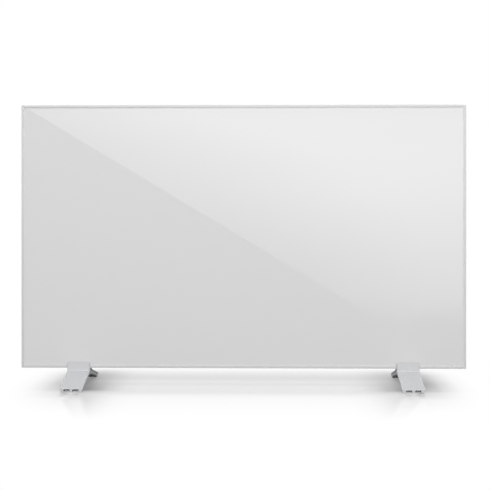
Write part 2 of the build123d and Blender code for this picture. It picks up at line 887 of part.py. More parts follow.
def gland_cap():
    """Dome nut over the neck, hexagonal where it is gripped."""
    cap_low = gland_neck_end - cap_end
    grip = hexagon(2 * (gland_neck + cap_wall), gland_neck_top - cap_gap - cap_low)
    cap = Pos(0, 0, cap_low) * grip
    cap -= upright(gland_neck + hole_fit, gland_neck_end, gland_neck_top)
    return cap - upright(gland_bore, cap_low - overrun, gland_neck_end + overrun)


locknut = Pos(0, 0, box_wall) * hexagon(gland_flats, locknut_height)
locknut -= upright(gland_thread + hole_fit, 0, gland_inside + overrun)
save("gland_body", at_gland * gland_body())
save("gland_locknut", at_gland * locknut)
save("gland_seal", at_gland * gland_seal())
save("gland_cap", at_gland * gland_cap())

# ---- rocker switch ------------------------------------------------------------------------------

well_half_y = rocker_width / 2 + rocker_gap
well_half_z = rocker_radius + rocker_gap
at_pivot = Pos(pivot_x, box_middle_y, box_z)  # x = 0 is the pivot, x points outwards


def switch_housing():
    """Snap-in body with a bezel outside and a well for the rocker."""
    bezel_face = rocker_pivot_depth
    wall_face = bezel_face - bezel_thickness
    rim_y, rim_z = switch_width / 2 + bezel_rim, switch_height / 2 + bezel_rim
    bezel = block(wall_face, bezel_face, -rim_y, rim_y, -rim_z, rim_z)
    bezel = chamfer(bezel.faces().sort_by(Axis.X)[-1].edges(), bezel_bevel)
    body = block(
        wall_face - switch_body_depth,
        wall_face,
        -switch_width / 2,
        switch_width / 2,
        -switch_height / 2,
        switch_height / 2,
    )
    well_top = bezel_face + overrun
    well = block(-rocker_well, well_top, -well_half_y, well_half_y, -well_half_z, well_half_z)
    socket_half = rocker_width / 2 + pivot_length + rocker_gap
    sockets = pin_y(0, 0, pivot_radius + pivot_fit, -socket_half, socket_half)
    return bezel + body - well - sockets


def switch_rocker():
    """Rocker with a shallow V across its face, arc ends and a pivot stub on each side."""
    half_throw = math.radians(rocker_throw / 2)
    end = rocker_radius
    rise = end * math.tan(half_throw)
    outline = Polyline(
        (-rocker_skirt, -end),
        (rocker_pivot_depth + rise, -end),
        (rocker_pivot_depth, 0),
        (rocker_pivot_depth + rise, end),
        (-rocker_skirt, end),
        close=True,
    )
    section = make_face(outline) & Circle(rocker_radius)
    rocker = slab(section, -rocker_width / 2, rocker_width / 2)
    stub = rocker_width / 2 + pivot_length
    rocker += pin_y(0, 0, pivot_radius, -stub, stub)
    return Rot(0, -rocker_throw / 2, 0) * rocker


def switch_tab(z):
    """Flat terminal at the back of the switch."""
    half = switch_tab_width / 2
    thick = tab_thickness / 2
    return block(
        switch_tab_x, switch_back_x, box_middle_y - half, box_middle_y + half, z - thick, z + thick
    )


save("switch_housing", at_pivot * switch_housing())
save("switch_rocker", at_pivot * switch_rocker())
save("switch_tabs", switch_tab(lower_tab_z), switch_tab(upper_tab_z))

# ---- feet ---------------------------------------------------------------------------------------

slope = (foot_shoulder - foot_end_height) / (leg_half - lip_face)
skin_height = skin_thickness * math.hypot(1, slope)  # skin measured upright


def round_at(face, height, radius):
    """Round the corners of an upright outline that lie at one height."""
    return fillet(
        face.vertices().filter_by(lambda corner: abs(corner.Y - height) < hole_fit), radius
    )


def both_ways(points):
    """Outline that is the same in front and behind."""
    return points + [(-y, z) for y, z in reversed(points)]


def foot_section():
    """Side view of the foot: two sloping legs and the slot that holds the frame."""
    points = both_ways(
        [
            (-leg_half, pad_proud),
            (-leg_half, foot_end_height),
            (-lip_face, foot_shoulder),
            (-lip_face, lip_top),
            (-slot_half, lip_top),
            (-slot_half, slot_floor),
        ]
    )
    face = make_face(Polyline(*points, close=True))
    face = round_at(face, foot_end_height, foot_nose)
    face = round_at(face, lip_top, lip_round)
    return round_at(face, foot_shoulder, shoulder_round)


def foot_hollow(x0, x1):
    """Space under the skin between two planes, open below and at both ends."""
    past = leg_half + overrun
    points = both_ways(
        [
            (-past, pad_proud - overrun),
            (-past, foot_end_height - skin_height - slope * overrun),
            (-lip_face, foot_shoulder - skin_height),
            (-slot_half, slot_floor - skin_thickness),
        ]
    )
    hollow = extrude(Plane.YZ * make_face(Polyline(*points, close=True)), x1 - x0)
    return Pos(x0, 0, 0) * hollow


def foot_arch():
    """Open space below the foot, between the level ends of its ribs."""
    land, start = leg_half - pad_land, leg_half - arch_start
    start_z = foot_end_height + slope * arch_start - leg_depth
    crown = boss_under - foot_head_height - foot_head_clear
    points = both_ways(
        [(-land, pad_proud - overrun), (-land, pad_proud), (-start, start_z), (-lip_face, crown)]
    )
    face = make_face(Polyline(*points, close=True))
    face = round_at(round_at(face, start_z, arch_round), crown, arch_round)
    return extrude(Plane.YZ * face, foot_width / 2 + overrun, both=True)


pad_places = four_places(
    0, 0, channel_outer + side_rib / 2, leg_half - pad_setback - pad_length / 2
)


def foot_pad(x, y, grow):
    """Pad with round ends, or its pocket when grown."""
    outline = Rot(0, 0, 90) * SlotOverall(pad_length + 2 * grow, pad_width + 2 * grow)
    return Pos(x, y, 0) * extrude(outline, pad_thickness)


def foot():
    """Cast foot drawn about its own middle: skin, ribs and webs, lips and screw bosses."""
    half = foot_width / 2
    body = extrude(Plane.YZ * foot_section(), half, both=True)
    rims = body.faces().filter_by(Axis.X).edges()
    body = chamfer(rims.filter_by(lambda edge: edge.center().Z > pad_proud + hole_fit), foot_edge)
    body -= foot_arch()
    body -= foot_hollow(centre_rib / 2, channel_outer)
    body -= foot_hollow(-channel_outer, -centre_rib / 2)
    body -= foot_hollow(half - rib_inset, half + overrun)
    body -= foot_hollow(-half - overrun, rib_inset - half)
    for side in (-1, 1):
        x, y, hole = side * channel_middle, chamber_middle_y, foot_screw_radius + hole_fit
        body += pin_z(x, y, screw_boss, boss_under, slot_floor)
        body -= pin_z(x, y, hole, boss_under - overrun, slot_floor + overrun)
    land = leg_half - pad_land
    web_top = foot_end_height + slope * pad_land - skin_height / 2
    for y in (-land, land - web_thickness):
        body += block(-channel_outer, channel_outer, y, y + web_thickness, pad_proud, web_top)
    return body - [foot_pad(x, y, pad_fit) for x, y in pad_places]


foot_shape = foot()
save("foot_left", Pos(foot_places[0], 0, 0) * foot_shape)
save("foot_right", Pos(foot_places[1], 0, 0) * foot_shape)
save("foot_pads", *[foot_pad(foot_x + x, y, 0) for foot_x in foot_places for x, y in pad_places])


def slot_liner(x):
    """Rubber channel between the foot's slot and the frame."""
    inner, outer = panel_depth / 2 + slot_fit, slot_half - slot_fit
    top = lip_top - lip_round
    half = foot_width / 2 - liner_edge
    channel = block(x - half, x + half, -outer, outer, slot_floor, top)
    half += overrun
    channel -= block(x - half, x + half, -inner, inner, panel_bottom, top + overrun)
    return channel - foot_screw_holes(foot_screw_radius + 2 * hole_fit, slot_floor - overrun, top)


save("slot_liners", *[slot_liner(x) for x in foot_places])


def nut_bar(x):
    """Tapped bar inside the frame above a foot."""
    half = bar_length / 2
    z0 = panel_bottom + frame_wall
    z1 = z0 + chamber_width - chamber_fit
    y0, y1 = chamber_front_y + chamber_fit, flange_front_y - chamber_fit
    bar = block(x - half, x + half, y0, y1, z0, z1)
    return bar - foot_screw_holes(foot_screw_radius + hole_fit, z0 - overrun, z1 + overrun)


save("nut_bars", *[nut_bar(x) for x in foot_places])
foot_screw = Rot(180, 0, 0) * screw(
    foot_screw_radius, foot_screw_length, foot_head_radius, foot_head_height
)
save(
    "foot_screws", *[Pos(x, chamber_middle_y, boss_under) * foot_screw for x in foot_screw_places]
)
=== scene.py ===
import json
import math

import bpy
from mathutils import Matrix, Vector


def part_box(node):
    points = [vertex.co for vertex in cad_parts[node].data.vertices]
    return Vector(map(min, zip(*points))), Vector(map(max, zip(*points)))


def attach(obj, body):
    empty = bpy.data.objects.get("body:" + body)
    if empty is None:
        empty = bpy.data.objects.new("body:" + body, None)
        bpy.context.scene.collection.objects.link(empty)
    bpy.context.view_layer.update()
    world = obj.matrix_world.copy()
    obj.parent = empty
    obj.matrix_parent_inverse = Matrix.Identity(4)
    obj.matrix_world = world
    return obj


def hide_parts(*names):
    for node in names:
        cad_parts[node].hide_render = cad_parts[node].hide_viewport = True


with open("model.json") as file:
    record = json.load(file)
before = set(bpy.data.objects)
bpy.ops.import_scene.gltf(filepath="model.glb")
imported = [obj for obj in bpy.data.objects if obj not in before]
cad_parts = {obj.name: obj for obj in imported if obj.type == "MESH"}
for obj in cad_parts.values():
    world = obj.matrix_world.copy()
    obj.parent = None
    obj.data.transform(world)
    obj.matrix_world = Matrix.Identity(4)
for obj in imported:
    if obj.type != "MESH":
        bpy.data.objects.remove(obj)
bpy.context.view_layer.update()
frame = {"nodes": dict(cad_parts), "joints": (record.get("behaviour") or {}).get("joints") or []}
parts = frame["nodes"]

# ---- camera -------------------------------------------------------------------------------------
# A level camera stands 2.7 m in front of the heater, a little right of its middle and a little
# above it. The lens is shifted down to take in the floor.

stand_off = 2.698  # from the camera to the front of the frame
camera_height = 0.4207
camera_right = 0.0618
camera_turn = 0.0212  # radians, towards the left
picture = 490  # pixels across and down
focal_pixels = 1194.4
horizon_row = 198.9
film_width = 36  # millimetres

camera_data = bpy.data.cameras.new("camera")
camera_data.sensor_width = film_width
camera_data.lens = focal_pixels / picture * film_width
camera_data.shift_y = (horizon_row - picture / 2) / picture
camera = bpy.data.objects.new("camera", camera_data)
bpy.context.scene.collection.objects.link(camera)
panel_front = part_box("frame_bottom")[0].y
camera.location = (camera_right, panel_front - stand_off, camera_height)
camera.rotation_euler = (math.pi / 2, 0, camera_turn)
bpy.context.scene.camera = camera
bpy.context.scene.view_settings.view_transform = "Standard"

# ---- studio floor -------------------------------------------------------------------------------
# A matt white sheet, with painted shade round the feet and a faint mirror image of each foot in a
# strip before it. Further out it is plain white, as the room is, so that no horizon shows.


class Wire:
    """An output socket that takes part in sums. Each sum adds a Math node."""

    def __init__(self, nodes, socket):
        self.nodes = nodes
        self.socket = socket

    def sum(self, operation, *terms):
        return self.nodes.node("Math", {"operation": operation}, dict(enumerate(terms)))

    def __add__(self, other):
        return self.sum("ADD", self, other)

    def __sub__(self, other):
        return self.sum("SUBTRACT", self, other)

    def __rsub__(self, other):
        return self.sum("SUBTRACT", other, self)

    def __mul__(self, other):
        return self.sum("MULTIPLY", self, other)

    def __truediv__(self, other):
        return self.sum("DIVIDE", self, other)

    def __abs__(self):
        return self.sum("ABSOLUTE", self)

    __radd__ = __add__
    __rmul__ = __mul__


class Nodes:
    """The node tree of a material or of the world."""

    def __init__(self, owner):
        owner.use_nodes = True
        self.owner = owner
        self.tree = owner.node_tree
        self.shader = self.tree.nodes.get("Principled BSDF")

    def feed(self, socket, value):
        if isinstance(value, Wire):
            self.tree.links.new(value.socket, socket)
        else:
            socket.default_value = value

    def surface(self, **sockets):
        """Feed the shader's sockets with plain values or with what changes over the surface."""
        for name, value in sockets.items():
            self.feed(self.shader.inputs[name.replace("_", " ")], value)

    def node(self, kind, settings={}, inputs={}, output=0):
        """One node: its settings first, then the values or links of its sockets."""
        made = self.tree.nodes.new("ShaderNode" + kind)
        for name, value in settings.items():
            if name == "stops":
                ramp = made.color_ramp
                while len(ramp.elements) < len(value):
                    ramp.elements.new(0.5)
                for element, (place, colour) in zip(ramp.elements, value):
                    element.position = place
                    element.color = (*colour, 1)
            else:
                setattr(made, name, value)
        for key, value in inputs.items():
            self.feed(made.inputs[key], value)
        return Wire(self, made.outputs[output])

    def coordinate(self, axis=None):
        """Place on the object, in metres, whole or along one axis."""
        place = self.node("TexCoord", output="Object")
        return place if axis is None else self.node("SeparateXYZ", {}, {0: place}, axis)

    def graded(self, distance, *stops):
        """A share that changes with distance. The stops are metres and shares, straight between."""
        nearest, furthest = stops[0][0], stops[-1][0]
        reach = furthest - nearest
        greys = [((metres - nearest) / reach, (share,) * 3) for metres, share in stops]
        return self.node("ValToRGB", {"stops": greys}, {0: (distance - nearest) / reach})


def new_finish(name, **constants):
    """A material whose shader sockets start at plain values."""
    finish = Nodes(bpy.data.materials.new(name))
    finish.surface(**constants)
    return finish


floor_size = 12
sheet_paint = (0.35, 0.35, 0.35, 1)
sheet_lift = 0.475  # light of its own, which brings the lit sheet up to a near white
mirror_roughness = 0.05
# The shade that the next values and the curves below set is painted shade, not cast by the lamps.
outer_right_painted_shade = 1.7  # shade at the outer side of the right foot, against about 1 at the left foot
doubled = 2  # because the curves beside the strips are drawn at half their height
strip_start, strip_end = 0.14, 0.64  # in front of the middle; between them the strips lean in
inner_edge, inner_lean = 0.348, 0.1  # of a strip at its start, and how far it comes in
outer_edge, outer_lean = 0.397, 0.14
edge_blur = 0.006
foot_half_x = (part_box("foot_left")[1].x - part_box("foot_left")[0].x) / 2
foot_centre_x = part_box("foot_right")[1].x - foot_half_x

bpy.ops.mesh.primitive_plane_add(size=floor_size)
floor = bpy.context.object
floor.name = "studio_floor"
sheet = new_finish("floor_white", Base_Color=sheet_paint, Roughness=0.5, Specular_IOR_Level=0.0)
forwards = 0 - sheet.coordinate("Y")
sideways = sheet.coordinate("X")

# Where the sheet is plain white: before the heater, behind it and at its sides.
in_front = sheet.graded(
    forwards,
    *((0.11, 0), (0.125, 0.08), (0.14, 0.25), (0.16, 0.52)),
    *((0.2, 0.74), (0.25, 0.83), (0.35, 0.96), (0.44, 1)),
)
behind = sheet.graded(0 - forwards, (0.09, 0), (0.13, 0.12), (0.2, 0.55), (0.24, 0.9), (0.27, 1))
aside = sheet.graded(abs(sideways), (0.37, 0), (0.40, 1))
plain = 1 - (1 - in_front) * (1 - behind) * (1 - aside)

# The strip before each foot, and the floor between the strips and outside them.
inner_way = abs(sideways) + sheet.graded(forwards, (strip_start, 0), (strip_end, inner_lean))
outer_way = abs(sideways) + sheet.graded(forwards, (strip_start, 0), (strip_end, outer_lean))
between = sheet.graded(inner_way, (inner_edge - edge_blur, 1), (inner_edge + edge_blur, 0))
outside = sheet.graded(outer_way, (outer_edge - edge_blur, 0), (outer_edge + edge_blur, 1))
strip = 1 - between - outside

# The feet's painted shade fades sideways from each foot, and forwards and backwards by its own
# curve in the strips, between them and outside them.
from_foot = abs(abs(sideways) - foot_centre_x) - foot_half_x
beside_foot = sheet.graded(
    from_foot,
    *((-0.025, 0.32), (-0.011, 0.56), (0, 0.47), (0.017, 0.37), (0.03, 0.3)),
    *((0.048, 0.18), (0.067, 0.095), (0.085, 0.035), (0.12, 0)),
)
by_side = sheet.graded(sideways, (0.1, 0.6), (0.3, 0.45), (0.36, 0.45), (0.4, 0.8), (0.47, 1))
fade_in_strip = sheet.graded(
    forwards,
    *((-0.25, 0), (-0.2, 0.3), (-0.14, 0.75), (-0.09, 0.9), (0.02, 0.95), (0.09, 1)),
    *((0.115, 0.5), (0.165, 0.34), (0.21, 0.17), (0.307, 0.12), (0.395, 0.07), (0.46, 0)),
)
fade_between = sheet.graded(
    forwards,
    *((-0.25, 0), (-0.2, 0.21), (-0.14, 0.37), (-0.065, 0.415), (-0.005, 0.52), (0.039, 0.625)),
    *((0.067, 0.685), (0.086, 0.71), (0.108, 0.4), (0.125, 0.28), (0.148, 0.27), (0.173, 0.32)),
    *((0.224, 0.345), (0.307, 0.295), (0.352, 0.26), (0.395, 0.15), (0.45, 0)),
)
fade_outside = sheet.graded(
    forwards,
    *((-0.25, 0), (-0.2, 0.19), (-0.14, 0.42), (-0.065, 0.5), (-0.005, 0.54), (0.039, 0.48)),
    *((0.067, 0.43), (0.094, 0.38), (0.115, 0.25), (0.165, 0.17), (0.21, 0.07), (0.3, 0.02)),
    (0.36, 0),
)
lengthways = fade_in_strip * strip
lengthways = lengthways + doubled * between * fade_between
lengthways = lengthways + doubled * outside * fade_outside
painted_shade = beside_foot * by_side * outer_right_painted_shade * lengthways

# The white part mirrors faintly in the strips. Lamps and other surfaces meet only the matt sheet.
mirror = strip * sheet.graded(
    forwards,
    *((-0.2, 0), (-0.14, 0.45), (0.1, 0.45), (0.165, 0.4)),
    *((0.2, 0.28), (0.25, 0.12), (0.3, 0.1), (0.42, 0)),
)
matt = Wire(sheet, sheet.shader.outputs[0])
lift = sheet.node("Emission", {}, {"Color": (sheet_lift, sheet_lift, sheet_lift, 1)})
lifted = sheet.node("AddShader", {}, {0: matt, 1: lift})
white = sheet.node("Emission", {}, {"Color": (1, 1, 1, 1)})
gloss = sheet.node("BsdfGlossy", {}, {"Color": (1, 1, 1, 1), "Roughness": mirror_roughness})
white = sheet.node("MixShader", {}, {0: mirror, 1: white, 2: gloss})
# Painted shade: this black emission is mixed in by place, beside and before the feet, for camera
# and glossy rays.
dark = sheet.node("Emission", {}, {"Color": (0, 0, 0, 1)})
shown = sheet.node("MixShader", {}, {0: plain, 1: lifted, 2: white})
shown = sheet.node("MixShader", {}, {0: painted_shade, 1: shown, 2: dark})
seen = sheet.node("LightPath", output="Is Camera Ray")
seen = seen + sheet.node("LightPath", output="Is Glossy Ray")
shown = sheet.node("MixShader", {}, {0: seen, 1: matt, 2: shown})
sheet.feed(sheet.tree.nodes["Material Output"].inputs["Surface"], shown)
floor.data.materials.append(sheet.owner)

# ---- studio lights ------------------------------------------------------------------------------
# Three soft boxes, overhead, in front and behind, all plain white, in a dim white room. A white
# card stands in front of the glass and shows only in its reflection, with a slanting edge.

room_light = 0.36  # on the object; seen directly or mirrored, the room is white

world = bpy.data.worlds.new("white_room")
bpy.context.scene.world = world
room = Nodes(world)
seen = room.node("LightPath", output="Is Camera Ray")
seen = seen + room.node("LightPath", output="Is Glossy Ray")
seen = seen + room.node("LightPath", output="Is Transmission Ray")
seen = room.node("Math", {"operation": "MINIMUM"}, {0: seen, 1: 1.0})
backdrop = room.tree.nodes["Background"]
room.feed(backdrop.inputs["Color"], room_light + seen * (1 - room_light))


def soft_box(name, place, aim, width, height, power):
    """Rectangular lamp at a place, turned towards a point."""
    lamp = bpy.data.lights.new(name, "AREA")
    lamp.shape = "RECTANGLE"
    lamp.size = width
    lamp.size_y = height
    lamp.energy = power
    box = bpy.data.objects.new(name, lamp)
    bpy.context.scene.collection.objects.link(box)
    box.location = place
    box.rotation_euler = (Vector(aim) - Vector(place)).to_track_quat("-Z", "Y").to_euler()


above_heater, on_floor = (0.1, 0.05, 2.3), (0.1, 0.05, 0)
in_front_above, on_panel = (0.15, -4.2, 2.2), (0, 0, 0.35)
behind_left, on_back = (-0.6, 3.4, 1.9), (0, 0, 0.3)
soft_box("overhead_box", above_heater, on_floor, width=3.2, height=2.4, power=22)
soft_box("front_box", in_front_above, on_panel, width=2.2, height=1.6, power=145)
soft_box("rear_box", behind_left, on_back, width=1.8, height=1.4, power=50)

card_y = -1.3
card_top = 1.6
card_side = 1.4
card_bright = 4.0  # at most, over the white of the room
card_rise = 1.4  # share of that, for each metre away from the slanting edge
edge_corner = (28, 109)  # pixels where the slanting edge crosses the glass
edge_end = (390, 326)
edge_spare = 0.6  # by which the edge runs on past both
glass_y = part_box("front_glass")[0].y


def mirrored_place(pixel):
    """Point of the card that the glass shows at a pixel of the picture."""
    right = (pixel[0] - picture / 2) / focal_pixels
    down = (pixel[1] - horizon_row) / focal_pixels
    turn = Matrix.Rotation(camera_turn, 3, "Z")
    ray = turn @ Vector((right, 1, -down))
    start = Vector(camera.location)
    on_glass = start + ray * ((glass_y - start.y) / ray.y)
    back = Vector((ray.x, -ray.y, ray.z))
    return on_glass + back * ((card_y - glass_y) / back.y)


edge_from = mirrored_place(edge_corner)
edge_to = mirrored_place(edge_end)
along = (edge_to - edge_from).normalized()
across = Vector((-along.z, 0, along.x))
far_left = edge_from - along * edge_spare
far_right = edge_to + along * edge_spare
bpy.ops.mesh.primitive_plane_add(size=1)
card = bpy.context.object
card.name = "reflected_card"
corners = [
    far_left,
    far_right,
    Vector((card_side, card_y, card_top)),
    Vector((far_left.x, card_y, card_top)),
]
for vertex, corner in zip(card.data.polygons[0].vertices, corners):
    card.data.vertices[vertex].co = corner
glow = Nodes(bpy.data.materials.new("card_white"))
glow.tree.nodes.remove(glow.shader)
above = glow.coordinate("Z")
from_edge = (glow.coordinate("X") - edge_from.x) * across.x + (above - edge_from.z) * across.z
at_edge = glow.graded(
    above,
    *((0.0, 0.0), (0.1, 0.19), (0.208, 0.19), (0.328, 0.25)),
    *((0.449, 0.335), (0.569, 0.345), (0.709, 0.42)),
)
most = glow.graded(
    above,
    *((0.0, 0.0), (0.088, 0.38), (0.208, 0.54), (0.328, 0.72)),
    *((0.449, 0.84), (0.569, 0.88), (0.709, 0.78)),
)
rising = at_edge + from_edge * card_rise
brighter = glow.node("Math", {"operation": "MINIMUM"}, {0: rising, 1: most})
light = glow.node("Emission", {}, {"Color": 1 + brighter * card_bright})
glow.feed(glow.tree.nodes["Material Output"].inputs["Surface"], light)
card.data.materials.append(glow.owner)
card.visible_camera = False
card.visible_diffuse = False
card.visible_transmission = False
card.visible_shadow = False

# ---- frame --------------------------------------------------------------------------------------
# Four lengths of extruded aluminium, mitred at the corners and pushed on to steel corner keys.
# They are powder coated in pale grey before they are cut, with a fine orange peel to the coat.

frame_grey = (0.60, 0.60, 0.603)


def noise(finish, scale, detail=2.0):
    """Cloudy pattern that lies still on the object, from 0 to 1."""
    place = finish.coordinate()
    return finish.node("TexNoise", {}, {"Vector": place, "Scale": scale, "Detail": detail})


def toned(colour, share):
    """The colour made darker."""
    return tuple(share * channel for channel in colour)


def mixed(finish, share, first, second):
    """Colour between two others. The first may already change over the surface."""
    first = first if isinstance(first, Wire) else (*first, 1)
    return finish.node("Mix", {"data_type": "RGBA"}, {0: share, 6: first, 7: (*second, 1)}, 2)


def bumped(finish, height, strength, distance):
    """Fine relief, as deep as the distance in metres."""
    return finish.node("Bump", {}, {"Strength": strength, "Distance": distance, "Height": height})


def powder_coat(name, colour, peel, roughness=0.36):
    """Baked paint: near-even colour, a satin gloss that wanders and a fine peel."""
    finish = new_finish(name, Specular_IOR_Level=0.22)
    cloud = noise(finish, 9.0, detail=3.0)
    fine = noise(finish, 1100.0)
    finish.surface(
        Base_Color=mixed(finish, cloud, toned(colour, 0.97), colour),
        Roughness=roughness + cloud * 0.06 + fine * 0.08,
        Normal=bumped(finish, fine, strength=0.35, distance=peel),
    )
    return finish.owner


def dress(finish, *names):
    """Give these CAD pieces one finish."""
    for name in names:
        for slot in parts[name].material_slots:
            slot.material = finish


frame_coat = powder_coat("frame_coat", frame_grey, peel=0.00004)
dress(frame_coat, "frame_bottom", "frame_left", "frame_top", "frame_right")


def plated_metal(name, colour, roughness, grain, depth=0.00002):
    """Bare or plated metal with a cloudy surface and a fine grain."""
    finish = new_finish(name, Metallic=1.0)
    cloud = noise(finish, 140.0, detail=4.0)
    finish.surface(
        Base_Color=mixed(finish, cloud, toned(colour, 0.82), colour),
        Roughness=roughness + cloud * 0.14,
        Normal=bumped(finish, noise(finish, grain), strength=0.4, distance=depth),
    )
    return finish.owner


zinc = plated_metal("zinc_plate", (0.62, 0.64, 0.66), roughness=0.24, grain=900.0)
dress(zinc, "corner_keys")

# ---- glass front and its seal -------------------------------------------------------------------
# Toughened glass, 4 mm thick, with white enamel fired on to its back, so the colour lies under a
# hard clear gloss. A grey silicone seal of U section holds it inside the frame's lip.

enamel = (0.664, 0.664, 0.666)
seal_grey = (0.57, 0.57, 0.574)

pane = new_finish("enamelled_glass")
cloud = noise(pane, 3.0)
roller_marks = pane.node(
    "TexWave",
    {"wave_type": "BANDS", "bands_direction": "Z"},
    {"Vector": pane.coordinate(), "Scale": 1.3, "Distortion": 1.5, "Detail": 1.0},
)
pane.surface(
    Base_Color=mixed(pane, cloud, toned(enamel, 0.985), enamel),
    Roughness=0.003 + cloud * 0.006,
    Normal=bumped(pane, roller_marks, strength=0.1, distance=0.00001),
)
dress(pane.owner, "front_glass")


def rubber(name, colour, roughness):
    """Silicone or rubber: matt, slightly mottled, with a soft skin."""
    finish = new_finish(name)
    cloud = noise(finish, 260.0, detail=3.0)
    pale = tuple(min(1.0, 1.18 * channel + 0.004) for channel in colour)
    finish.surface(
        Base_Color=mixed(finish, cloud, colour, pale),
        Roughness=roughness + cloud * 0.12,
        Normal=bumped(finish, cloud, strength=0.3, distance=0.00003),
    )
    return finish.owner


dress(rubber("seal_silicone", seal_grey, roughness=0.55), "glass_gasket")

# ---- heating laminate, foil and board -----------------------------------------------------------
# Behind the glass lies a carbon-filled laminate fed by two copper strips along its long edges.
# Aluminium foil and a pressed mineral board keep the heat from the back. None of it shows.

copper = (0.80, 0.42, 0.26)
foil_bright = (0.86, 0.87, 0.88)


def banded(finish, share, *stops):
    """Colour that a share picks between stops, each a share and a colour."""
    return finish.node("ValToRGB", {"stops": stops}, {0: share})


laminate = new_finish("carbon_laminate", Roughness=0.5)
weave = laminate.node(
    "TexWave", {"bands_direction": "X"}, {"Vector": laminate.coordinate(), "Scale": 60.0}
)
laminate.surface(
    Base_Color=banded(laminate, weave, (0.3, (0.030, 0.028, 0.026)), (0.7, (0.055, 0.052, 0.048)))
)
dress(laminate.owner, "heating_plate")
dress(plated_metal("copper_strip", copper, roughness=0.28, grain=500.0), "busbars")
dress(
    plated_metal("aluminium_foil", foil_bright, roughness=0.16, grain=220.0, depth=0.0001),
    "reflector_foil",
)

board = new_finish("mineral_board")
fibre = noise(board, 420.0, detail=6.0)
board.surface(
    Base_Color=banded(board, fibre, (0.3, (0.62, 0.60, 0.55)), (0.7, (0.82, 0.80, 0.75))),
    Roughness=0.8 + fibre * 0.15,
    Normal=bumped(board, fibre, strength=0.6, distance=0.0003),
)
dress(board.owner, "insulation_board")

# ---- thermal cut-outs and leads -----------------------------------------------------------------
# Two bimetal cut-outs press metal cups on the laminate; their bodies are phenolic moulding and
# their tabs tinned brass. Silicone-covered leads lie in the board's grooves and go to the box.

cup_bright = (0.80, 0.80, 0.81)
phenolic = (0.045, 0.025, 0.016)
tin = (0.74, 0.73, 0.70)
seam_half = 0.00015  # half the width of the dark line at a seam


def moulding(name, colour, roughness, spark, seam=None):
    """Moulded plastic with the fine sparked texture of its tool, and a dark line at a seam."""
    finish = new_finish(name)
    cloud = noise(finish, 40.0)
    grain = noise(finish, 1600.0)
    tone = mixed(finish, cloud, toned(colour, 0.94), colour)
    if seam is not None:
        off_seam = abs(finish.coordinate("Y") - seam)
        crack = finish.node("Math", {"operation": "LESS_THAN"}, {0: off_seam, 1: seam_half})
        tone = mixed(finish, crack, tone, toned(colour, 0.25))
    finish.surface(
        Base_Color=tone,
        Roughness=roughness + grain * 0.12,
        Normal=bumped(finish, grain, strength=0.4, distance=spark),
    )
    return finish.owner


dress(plated_metal("cup_aluminium", cup_bright, roughness=0.3, grain=700.0), "cutout_cups")
dress(moulding("phenolic_brown", phenolic, roughness=0.4, spark=0.00003), "cutout_bodies")
tinned = plated_metal("tinned_brass", tin, roughness=0.3, grain=800.0)
dress(tinned, "cutout_tabs", "switch_tabs")
lead_red = rubber("lead_red", (0.42, 0.035, 0.025), roughness=0.45)
dress(lead_red, "lead_line", "lead_link", "lead_upper", "switch_lead")
dress(rubber("lead_white", (0.78, 0.78, 0.76), roughness=0.45), "lead_lower")

striped = new_finish("lead_green_yellow", Roughness=0.45)
stripe = striped.node(
    "TexWave",
    {"bands_direction": "Y", "wave_profile": "SAW"},
    {"Vector": striped.coordinate(), "Scale": 120.0},
)
striped.surface(
    Base_Color=banded(striped, stripe, (0.48, (0.03, 0.30, 0.08)), (0.52, (0.80, 0.62, 0.03)))
)
dress(striped.owner, "earth_lead")

# ---- back sheet ---------------------------------------------------------------------------------
# Pressed steel sheet, 1 mm, in a white coat that is finer than the frame's. It drops into the
# frame's rebate and is screwed to the flange all round, with threaded inserts for wall brackets.

back_white = (0.70, 0.70, 0.70)
pitch = 0.001  # of the thread in the wall inserts
thread_scale = math.pi / 10 / pitch  # a Wave node's bands lie pi / 10 / scale apart

dress(powder_coat("back_coat", back_white, peel=0.00003), "back_panel")

threaded = new_finish("threaded_zinc", Metallic=1.0)
grooves = threaded.node(
    "TexWave",
    {"bands_direction": "Y"},
    {"Vector": threaded.coordinate(), "Scale": thread_scale},
)
# The grooves are coloured darker than the crests: painted shade in the thread, over its bump.
threaded.surface(
    Base_Color=banded(threaded, grooves, (0.25, (0.40, 0.41, 0.42)), (0.8, (0.64, 0.65, 0.66))),
    Roughness=0.26 + noise(threaded, 300.0) * 0.12,
    Normal=bumped(threaded, grooves, strength=0.8, distance=0.0004),
)
dress(threaded.owner, "wall_inserts")


def pick(piece, test):
    """Select the faces of the piece in edit mode that pass a test on middle and normal."""
    bpy.ops.mesh.select_mode(type="FACE")
    bpy.ops.mesh.select_all(action="DESELECT")
    bpy.ops.object.mode_set(mode="OBJECT")
    for polygon in piece.data.polygons:
        polygon.select = test(polygon.center, polygon.normal)
    bpy.ops.object.mode_set(mode="EDIT")


def on_top(middle, normal):
    """Faces that look up."""
    return normal.z > 0.9


def underneath(middle, normal):
    """Faces that look down."""
    return normal.z < -0.9


def innermost(middle, normal):
    """The face that looks up from the axis."""
    return on_top(middle, normal) and middle.xy.length < 1e-6


def cut(piece, operation, cutter):
    """Cut the piece with the cutter, or keep what lies within it. The cutter goes."""
    modifier = piece.modifiers.new("cut", "BOOLEAN")
    modifier.operation = operation
    modifier.object = cutter
    bpy.context.view_layer.objects.active = piece
    bpy.ops.object.modifier_apply(modifier=modifier.name)
    bpy.data.objects.remove(cutter)


def smooth(piece, degrees):
    """Shade the piece smooth, apart from edges that turn by more than this."""
    bpy.ops.object.select_all(action="DESELECT")
    piece.select_set(True)
    bpy.context.view_layer.objects.active = piece
    bpy.ops.object.shade_smooth_by_angle(angle=math.radians(degrees))


